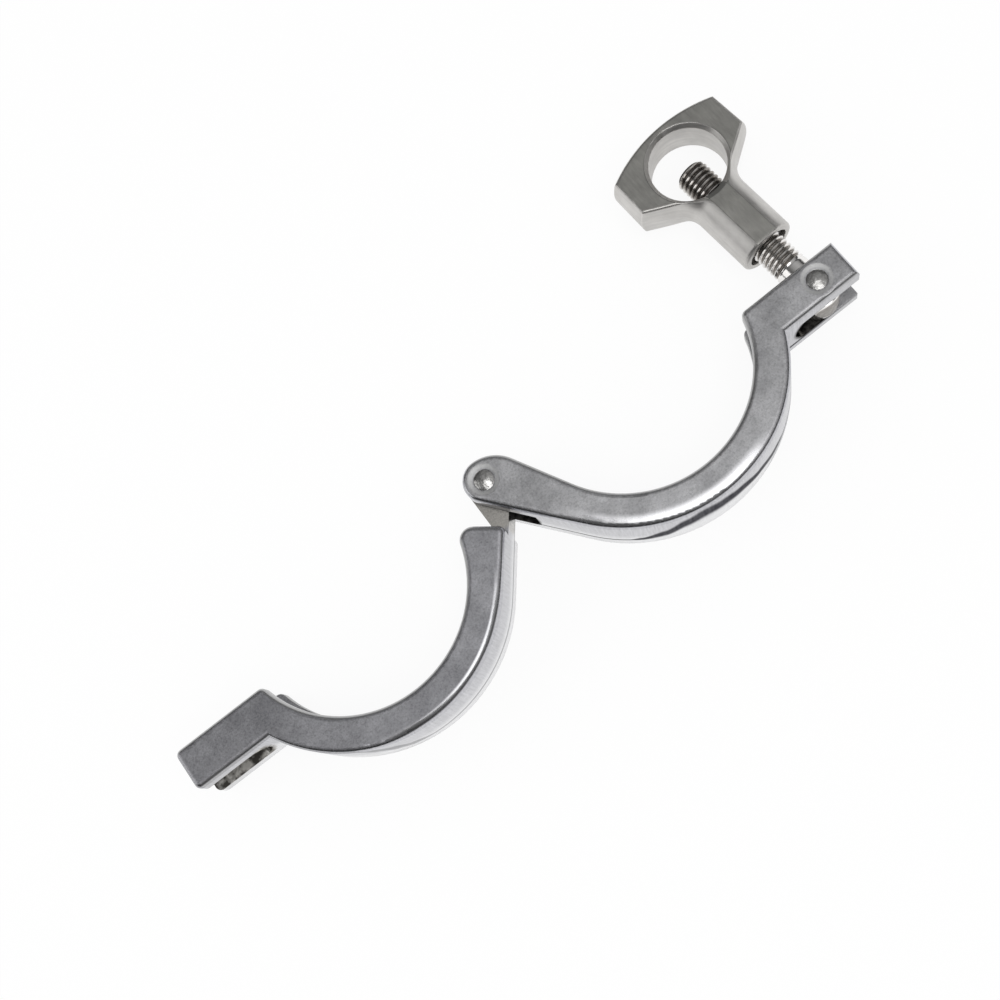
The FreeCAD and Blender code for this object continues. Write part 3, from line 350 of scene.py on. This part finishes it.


# Cast stainless steel, turned and then milled flat on two sides, tumbled and lightly polished by
# hand: warmer and smoother than the halves, with long soft waves, a faint haze of scratches, and
# crisp lines of painted shade and painted highlight where the flats end.
def nut_steel(name):
    material, tree = new_material(name)
    coord = add(tree, "TexCoord")
    place = coord.outputs["Object"]
    normal = add(tree, "SeparateXYZ", {0: coord.outputs["Normal"]})
    flatness = add(tree, "Math", {0: normal.outputs["Z"]}, operation="ABSOLUTE").outputs[0]
    level = add(tree, "MapRange", {"Value": flatness, "From Min": 0.60, "From Max": 0.75}).outputs[0]
    # 1 on the milled flats and where they run out over the collar, 0 on the turned blank
    across = add(tree, "VectorMath", {0: coord.outputs["Normal"], 1: tuple(BOLT_SIDE)},
                 operation="DOT_PRODUCT").outputs["Value"]
    across = add(tree, "Math", {0: across}, operation="ABSOLUTE").outputs[0]
    face = add(tree, "MapRange", {"Value": across, "From Min": 0.10, "From Max": 0.04}).outputs[0]
    face = add(tree, "Math", {0: face, 1: level}, operation="MULTIPLY").outputs[0]
    # the cutter has skimmed a narrow flat along the collar too
    from_pin = add(tree, "VectorMath", {0: place, 1: tuple(BOLT_PIN)}, operation="SUBTRACT").outputs[0]
    along = add(tree, "VectorMath", {0: from_pin, 1: tuple(BOLT_AXIS)},
                operation="DOT_PRODUCT").outputs["Value"]
    collar = add(tree, "MapRange", {"Value": along, "From Min": (NUT_NECK + 0.6) * MM,
                                    "From Max": NUT_NECK * MM}).outputs[0]
    aside = add(tree, "VectorMath", {0: from_pin, 1: tuple(BOLT_SIDE)},
                operation="DOT_PRODUCT").outputs["Value"]
    aside = add(tree, "Math", {0: aside}, operation="ABSOLUTE").outputs[0]
    skim = add(tree, "MapRange", {"Value": aside, "From Min": (SKIMMED_HALF + 0.4) * MM,
                                  "From Max": SKIMMED_HALF * MM},
               interpolation_type="SMOOTHSTEP").outputs[0]
    skim = add(tree, "Math", {0: skim, 1: level}, operation="MULTIPLY").outputs[0]
    skim = add(tree, "Math", {0: skim, 1: collar}, operation="MULTIPLY").outputs[0]
    face = add(tree, "Math", {0: face, 1: skim}, operation="MAXIMUM").outputs[0]

    # scratches: along the nut's axis on the flats, and level on the walls
    stretched = add(tree, "VectorMath", {0: place, 1: (1, 0.15, 0.6)}, operation="MULTIPLY")
    on_flats = add(tree, "TexNoise", {"Vector": stretched.outputs[0], "Scale": 1 / (AXIS_SCRATCH * MM),
                                      "Detail": 4.0, "Roughness": 0.7}).outputs["Fac"]
    stretched = add(tree, "VectorMath", {0: place, 1: (0.12, 0.12, 1)}, operation="MULTIPLY")
    on_walls = add(tree, "TexNoise", {"Vector": stretched.outputs[0], "Scale": 1 / (LEVEL_SCRATCH * MM),
                                      "Detail": 3.0, "Roughness": 0.6}).outputs["Fac"]
    haze = add(tree, "Mix", {"Factor": face, "A": on_walls, "B": on_flats}).outputs[0]
    clouds = add(tree, "TexNoise", {"Vector": place, "Scale": 1 / (CLOUD * MM), "Detail": 4.0,
                                    "Roughness": 0.6}).outputs["Fac"]
    milled = ramp(tree, clouds, [(0.30, srgb("#a6a5a1")), (0.70, srgb("#b5b4af"))])
    turned = ramp(tree, clouds, [(0.30, srgb("#c4c2bf")), (0.70, srgb("#d6d4d1"))])
    tone = add(tree, "Mix", {"Factor": face, "A": turned, "B": milled}, data_type="RGBA").outputs["Result"]
    line = ramp(tree, haze, [(0.30, grey(0.86)), (0.70, grey(1.08))])
    colour = add(tree, "Mix", {"Factor": 1.0, "A": tone, "B": line}, data_type="RGBA",
                 blend_type="MULTIPLY").outputs["Result"]
    rough = add(tree, "MapRange", {"Value": haze, "From Min": 0.3, "From Max": 0.7,
                                   "To Min": 0.34, "To Max": 0.46}).outputs[0]

    # the edges of the flats: painted shade just inside, painted highlight just outside
    edge = add(tree, "Bevel", {"Radius": 0.5 * MM}, samples=8)
    here = add(tree, "NewGeometry").outputs["Normal"]
    bend = add(tree, "VectorMath", {0: here, 1: edge.outputs[0]}, operation="DOT_PRODUCT").outputs["Value"]
    bend = add(tree, "MapRange", {"Value": bend, "From Min": 0.9985, "From Max": 0.990}).outputs[0]
    edge_shade_and_highlight = add(tree, "Mix", {"Factor": face, "A": grey(1.16), "B": grey(0.66)},
                data_type="RGBA").outputs["Result"]
    edge_shade_and_highlight = add(tree, "Mix", {"Factor": bend, "A": grey(1.0), "B": edge_shade_and_highlight},
                data_type="RGBA").outputs["Result"]
    skim_edge_shade_and_highlight = ramp(tree, skim, [(0.0, grey(1.0)), (0.10, grey(1.12)), (0.45, grey(0.72)),
                                   (0.80, grey(0.72)), (1.0, grey(1.0))], "EASE")
    edge_shade_and_highlight = add(tree, "Mix", {"Factor": 1.0, "A": edge_shade_and_highlight, "B": skim_edge_shade_and_highlight}, data_type="RGBA",
                blend_type="MULTIPLY").outputs["Result"]
    colour = add(tree, "Mix", {"Factor": 1.0, "A": colour, "B": edge_shade_and_highlight}, data_type="RGBA",
                 blend_type="MULTIPLY").outputs["Result"]

    # normals: nearly level on the skimmed flat, then long waves and the haze
    upright = add(tree, "Math", {0: normal.outputs["Z"]}, operation="SIGN").outputs[0]
    upright = add(tree, "CombineXYZ", {"Z": upright}).outputs[0]
    flattened = add(tree, "Math", {0: skim, 1: 0.85}, operation="MULTIPLY").outputs[0]
    edge = add(tree, "Mix", {"Factor": flattened, "A": edge.outputs[0], "B": upright}, data_type="VECTOR",
               factor_mode="UNIFORM").outputs["Result"]
    edge = add(tree, "VectorMath", {0: edge}, operation="NORMALIZE")
    waves = add(tree, "TexNoise", {"Vector": place, "Scale": 1 / (NUT_WAVE * MM), "Detail": 2.0})
    hills = add(tree, "Bump", {"Height": waves.outputs["Fac"], "Distance": 0.20 * MM, "Strength": 1.0,
                               "Normal": edge.outputs[0]})
    fine = add(tree, "Bump", {"Height": haze, "Distance": 0.012 * MM, "Strength": 1.0,
                              "Normal": hills.outputs[0]})
    steel = add(tree, "BsdfPrincipled", {"Base Color": colour, "Metallic": 1.0, "Roughness": rough,
                                         "Normal": fine.outputs[0]})
    finish_material(tree, steel)
    return material


# Rolled stainless steel thread: near-white crests as painted highlight, darker roots as painted shade,
# random patches of dirt, and painted shade darkening it towards the tip, where it sits inside the nut.
def thread_steel(name):
    material, tree = new_material(name)
    place = add(tree, "TexCoord").outputs["Object"]
    across = add(tree, "VectorMath", {0: place, 1: (1, 0, 1)}, operation="MULTIPLY")
    radius = add(tree, "VectorMath", {0: across.outputs[0]}, operation="LENGTH").outputs["Value"]
    # painted highlight on the crests and painted shade in the roots
    crest = add(tree, "MapRange", {"Value": radius, "From Min": 3.40 * MM,
                                   "From Max": 3.95 * MM}).outputs[0]
    dirt = add(tree, "TexNoise", {"Vector": place, "Scale": 1 / (OIL_PATCH * MM),
                                  "Detail": 3.0}).outputs["Fac"]
    crest_highlight_and_dirt = add(tree, "Math", {0: dirt, 1: 0.5, 2: crest}, operation="MULTIPLY_ADD").outputs[0]
    open_thread_tone = ramp(tree, crest_highlight_and_dirt, [(0.20, srgb("#8d8984")), (0.65, srgb("#cbc7c3")), (1.0, srgb("#f4f2f0"))])
    in_nut_shade_tone = ramp(tree, crest_highlight_and_dirt, [(0.20, srgb("#57524e")), (0.65, srgb("#a8a39e")), (1.0, srgb("#efece9"))])
    # painted shade: darker towards the tip, where the thread sits inside the nut
    along = add(tree, "SeparateXYZ", {0: place}).outputs["Y"]
    along = add(tree, "MapRange", {"Value": along, "From Min": 15 * MM, "From Max": 22 * MM}).outputs[0]
    tone = add(tree, "Mix", {"Factor": along, "A": open_thread_tone, "B": in_nut_shade_tone}, data_type="RGBA").outputs["Result"]
    rough = add(tree, "MapRange", {"Value": crest_highlight_and_dirt, "From Min": 0.2, "From Max": 1.0,
                                   "To Min": 0.42, "To Max": 0.14}).outputs[0]
    fine = add(tree, "Bump", {"Height": dirt, "Distance": 0.02 * MM, "Strength": 1.0})
    steel = add(tree, "BsdfPrincipled", {"Base Color": tone, "Metallic": 1.0, "Roughness": rough,
                                         "Normal": fine.outputs[0]})
    finish_material(tree, steel)
    return material


# Drawn stainless steel pin, peened: bright with small dents from the hammer.
def rivet_steel(name):
    material, tree = new_material(name)
    place = add(tree, "TexCoord").outputs["Object"]
    dents = add(tree, "TexNoise", {"Vector": place, "Scale": 1 / (HAMMER_DENT * MM),
                                   "Detail": 3.0}).outputs["Fac"]
    tone = ramp(tree, dents, [(0.30, srgb("#a2a19f")), (0.70, srgb("#dcdbd9"))])
    bump = add(tree, "Bump", {"Height": dents, "Distance": 0.09 * MM, "Strength": 1.0})
    steel = add(tree, "BsdfPrincipled", {"Base Color": tone, "Metallic": 1.0, "Roughness": 0.26,
                                         "Normal": bump.outputs[0]})
    finish_material(tree, steel)
    return material


# The swing bolt
def turned_ring(bm, profile, steps):
    """Turn a closed profile of (radius, height) once round the Z axis."""
    hoops = []
    for radius, height in profile:
        angles = [2 * math.pi * k / steps for k in range(steps)]
        hoops.append([bm.verts.new((radius * math.cos(angle), radius * math.sin(angle), height))
                      for angle in angles])
    for low, high in zip(hoops, hoops[1:] + hoops[:1]):
        for k in range(steps):
            n = (k + 1) % steps
            bm.faces.new((low[k], low[n], high[n], high[k]))


def make_threaded_bolt():
    """Eye bolt with a rolled M8 thread, drawn in millimetres about its pin with the rod along +Y."""
    pitch, crest, root = 1.25, 4.0, 3.34
    steps, start, bevel = 60, 7.4, 0.9
    foot = 2.7    # where the plain shank ends, inside the eye
    reach = (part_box("swing_bolt")[1][1] - BOLT_PIN.y) / MM
    end = (reach - (crest - bevel) * abs(BOLT_AXIS.x)) / BOLT_AXIS.y
    crest_half, root_half = pitch / 16, pitch / 8
    # profile of one turn: place along the pitch and depth below the crest
    profile = [(-crest_half, 0.0), (crest_half, 0.0), (pitch / 4 - crest_half / 2, 0.45),
               (pitch / 2 - root_half, 0.96), (pitch / 2, 1.0), (pitch / 2 + root_half, 0.96),
               (3 * pitch / 4 + crest_half / 2, 0.45)]
    rows = len(profile)
    bm = bmesh.new()

    def vertex(column, row):
        turn, index = divmod(row, rows)
        place, depth = profile[index]
        station = start + pitch * (turn - 1) + place + pitch * column / steps
        station = min(max(station, start), end)
        # the thread deepens over its first turn and a half, and the tip is bevelled
        entry = min(max((station - start) / (1.5 * pitch), 0.0), 1.0)
        radius = crest - (crest - root) * depth * entry * entry * (3 - 2 * entry)
        radius = min(radius, crest - bevel * max(0.0, (station - end) / bevel + 1.0))
        angle = 2 * math.pi * column / steps
        return bm.verts.new((radius * math.cos(angle), station, -radius * math.sin(angle)))

    turns = math.ceil((end - start) / pitch) + 3
    grid = [[vertex(column, row) for row in range(rows * turns)] for column in range(steps)]
    for column in range(steps):
        # after one turn round the rod, each row meets the one a pitch further on
        shift = rows if column == steps - 1 else 0
        following = grid[(column + 1) % steps]
        for row in range(rows * turns - 1 - shift):
            bm.faces.new((grid[column][row], following[row + shift], following[row + 1 + shift],
                          grid[column][row + 1]))
    bmesh.ops.remove_doubles(bm, verts=bm.verts, dist=1e-5)
    bmesh.ops.dissolve_degenerate(bm, dist=1e-5, edges=bm.edges)

    def open_rim(station):
        rim = {vert for edge in bm.edges if edge.is_boundary for vert in edge.verts
               if all(abs(end_vert.co.y - station) < 1e-4 for end_vert in edge.verts)}
        return sorted(rim, key=lambda vert: math.atan2(vert.co.z, vert.co.x))

    # close the tip, run the plain shank down into the eye and close its foot
    bm.faces.new(open_rim(end))
    shoulder = open_rim(start)
    base = [bm.verts.new((vert.co.x, foot, vert.co.z)) for vert in shoulder]
    for k in range(len(base)):
        n = (k + 1) % len(base)
        bm.faces.new((shoulder[k], shoulder[n], base[n], base[k]))
    bm.faces.new(base)
    # the eye: a short ring with softened edges and the pin's bore
    outer, bore, half, soft = 5.1, 2.48, 4.1, 0.5
    turned_ring(bm, [(bore, -half + 0.2), (bore + 0.2, -half), (outer - soft, -half),
                     (outer - 0.15, -half + 0.15), (outer, -half + soft), (outer, half - soft),
                     (outer - 0.15, half - 0.15), (outer - soft, half), (bore + 0.2, half),
                     (bore, half - 0.2)], 72)
    bmesh.ops.recalc_face_normals(bm, faces=bm.faces)
    for vert in bm.verts:
        vert.co *= MM
    mesh = bpy.data.meshes.new("threaded_swing_bolt")
    bm.to_mesh(mesh)
    bm.free()
    for polygon in mesh.polygons:
        polygon.use_smooth = True
    mesh.set_sharp_from_angle(angle=math.radians(38))
    bolt = bpy.data.objects.new("threaded_swing_bolt", mesh)
    bpy.context.collection.objects.link(bolt)
    bolt.matrix_world = Matrix.Translation(BOLT_PIN) @ Matrix(
        (BOLT_SIDE, BOLT_AXIS, Vector((0, 0, 1)))).transposed().to_4x4()
    return bolt


# Camera, fitted to the outlines of both flat sides
RIGHT = Vector((0.78443, -0.59069, -0.18910))
UP = Vector((0.61996, 0.75551, 0.21177))
BACK = Vector((0.01778, -0.28336, 0.95885))
CAMERA_PLACE = Vector((-0.033493, -0.100543, 0.328606))
camera_data = bpy.data.cameras.new("camera")
camera_data.sensor_width = 36.0
camera_data.lens = 54.666
camera_data.clip_start = 0.01
camera = bpy.data.objects.new("camera", camera_data)
bpy.context.collection.objects.link(camera)
camera.matrix_world = Matrix.Translation(CAMERA_PLACE) @ Matrix((RIGHT, UP, BACK)).transposed().to_4x4()
bpy.context.scene.camera = camera

# Pieces and finishes
# angle round the ring, height and half width in mm of the strip of painted dark reflection
BOLT_HALF_DARK_REFLECTION = ((-128, -3.6, 0.6), (-124, -3.2, 1.6), (-115, -1.3, 3.4), (-107, 2.2, 4.3),
                    (-100, 3.7, 5.0), (-92, 2.6, 4.4), (-85, 1.5, 3.7), (-75, -1.0, 2.6),
                    (-65, -3.2, 2.2), (-56, -5.0, 0.8))
NUT_HALF_DARK_REFLECTION = ((-122, 8.0, 1.0), (-116, 4.5, 3.5), (-110, 0.5, 4.2), (-104, -2.5, 2.6),
                   (-96, -3.8, 0.8))
put(cast_steel("blasted_and_polished_cast_steel_bolt_half",
               centre=(0.0, 0.0),
               satin_tones=("#a6a6a8", "#c6c6c8"),
               recess_shade_tones=("#262524", "#5e5c59"),
               shaded_recesses=((HINGE.x, HINGE.y, 13.2), (BOLT_PIN.x - 0.0035, BOLT_PIN.y, 7.5)),
               rolled_off=((32.4, 34.6), 0.17, (-108, 50)),
               table_reflection_end=-60,
               dark_reflection_course=BOLT_HALF_DARK_REFLECTION, dark_reflection_share=1.0,
               seats=((HINGE.x, HINGE.y), (BOLT_PIN.x, BOLT_PIN.y))), "bolt_half")
put(cast_steel("blasted_and_polished_cast_steel_nut_half",
               centre=(2 * HINGE.x, 0.0006),
               satin_tones=("#9a9a9e", "#b4b4b8"),
               recess_shade_tones=("#5a5854", "#dcdad6"),
               shaded_recesses=((-0.124, -0.0095, 11.5),),
               rolled_off=((34.0, 34.8), 0.42, (-72, 44)),
               table_reflection_end=20,
               dark_reflection_course=NUT_HALF_DARK_REFLECTION, dark_reflection_share=0.45,
               bare=((HINGE.x, HINGE.y, 11.0),)), "nut_half")
put(nut_steel("tumbled_cast_steel_wing_nut"), "wing_nut")
put(rivet_steel("peened_steel_pins"), "hinge_pin", "bolt_pin")

bolt = make_threaded_bolt()
bolt.data.materials.append(thread_steel("rolled_steel_thread"))
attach(bolt, "swing_bolt")
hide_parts("swing_bolt")

# Floor
FLOOR_HALF = 3.0
FLOOR_GAP = 0.00002
floor_mesh = bpy.data.meshes.new("floor")
floor_mesh.from_pydata([(-FLOOR_HALF, -FLOOR_HALF, 0), (FLOOR_HALF, -FLOOR_HALF, 0),
                        (FLOOR_HALF, FLOOR_HALF, 0), (-FLOOR_HALF, FLOOR_HALF, 0)], [], [(0, 1, 2, 3)])
floor = bpy.data.objects.new("floor", floor_mesh)
floor.location.z = REST_Z - FLOOR_GAP
bpy.context.collection.objects.link(floor)

# White paint on a table. Seen directly or in metal it keeps its own light, so it stays white and the
# shadow only tints it.
OWN_LIGHT_SEEN, OWN_LIGHT_MIRRORED = 0.91, 0.66
paint, paint_tree = new_material("white_table")
path = add(paint_tree, "LightPath")
seen = add(paint_tree, "Math", {0: path.outputs["Is Camera Ray"], 1: path.outputs["Is Glossy Ray"]},
           operation="MAXIMUM")
seen = add(paint_tree, "Math", {0: seen.outputs[0], 1: path.outputs["Is Transmission Ray"]},
           operation="MAXIMUM")
share = add(paint_tree, "Mix", {"Factor": path.outputs["Is Camera Ray"], "A": OWN_LIGHT_MIRRORED,
                                "B": OWN_LIGHT_SEEN})
share = add(paint_tree, "Math", {0: seen.outputs[0], 1: share.outputs[0]}, operation="MULTIPLY")
diffuse = add(paint_tree, "BsdfDiffuse", {"Color": grey(0.93)})
glow = add(paint_tree, "Emission", {"Color": grey(1.0), "Strength": 1.0})
finish_material(paint_tree, add(paint_tree, "MixShader", {0: share.outputs[0], 1: diffuse.outputs[0],
                                                          2: glow.outputs[0]}))
floor_mesh.materials.append(paint)

# The room: white where the camera looks, and plain pale light on everything else. Metal mirrors its
# parts: a white table edge, dim walls that draw a dark line along each rounded edge, and a pale
# ceiling that is brighter over the bolt.
world = bpy.data.worlds.new("room")
bpy.context.scene.world = world
world.use_nodes = True
tree = world.node_tree
tree.nodes.clear()
axes = add(tree, "SeparateXYZ", {0: add(tree, "TexCoord").outputs["Generated"]})
height = add(tree, "MapRange", {"Value": axes.outputs["Z"], "From Min": 0.0, "From Max": 1.0}).outputs[0]
walls = ramp(tree, height, [(0.0, grey(0.75)), (0.10, grey(0.45)), (0.24, grey(0.03)), (0.40, grey(0.03)),
                            (0.62, grey(0.19)), (0.84, grey(0.24)), (1.0, grey(0.27))], "EASE")
bolt_end = add(tree, "MapRange", {"Value": axes.outputs["X"], "From Min": -0.4, "From Max": 0.4,
                                  "To Min": 0.45, "To Max": 1.55}).outputs[0]
path = add(tree, "LightPath")
mirrored = add(tree, "Background", {"Color": walls, "Strength": bolt_end})
plain = add(tree, "Background", {"Color": grey(0.75), "Strength": 1.0})
white = add(tree, "Background", {"Color": grey(1.0), "Strength": 0.975})    # the floor's white
room = add(tree, "MixShader", {0: path.outputs["Is Glossy Ray"], 1: plain.outputs[0],
                               2: mirrored.outputs[0]})
room = add(tree, "MixShader", {0: path.outputs["Is Camera Ray"], 1: room.outputs[0],
                               2: white.outputs[0]})
add(tree, "OutputWorld", {"Surface": room.outputs[0]})


def lamp(name, place, target, width, length, watts):
    """A soft oval lamp aimed at a point."""
    data = bpy.data.lights.new(name, "AREA")
    data.shape = "ELLIPSE"
    data.size = width
    data.size_y = length
    data.energy = watts
    lit = bpy.data.objects.new(name, data)
    bpy.context.collection.objects.link(lit)
    lit.location = place
    lit.rotation_euler = (Vector(target) - Vector(place)).to_track_quat("-Z", "Y").to_euler()


lamp("top", (0.045, -0.23, 0.88), (0.0, 0, 0), 0.50, 0.82, 2.1)
lamp("side", (-0.85, 0.35, 0.50), (-0.04, 0, 0), 0.80, 0.80, 1.6)

bpy.context.scene.view_settings.view_transform = "Standard"
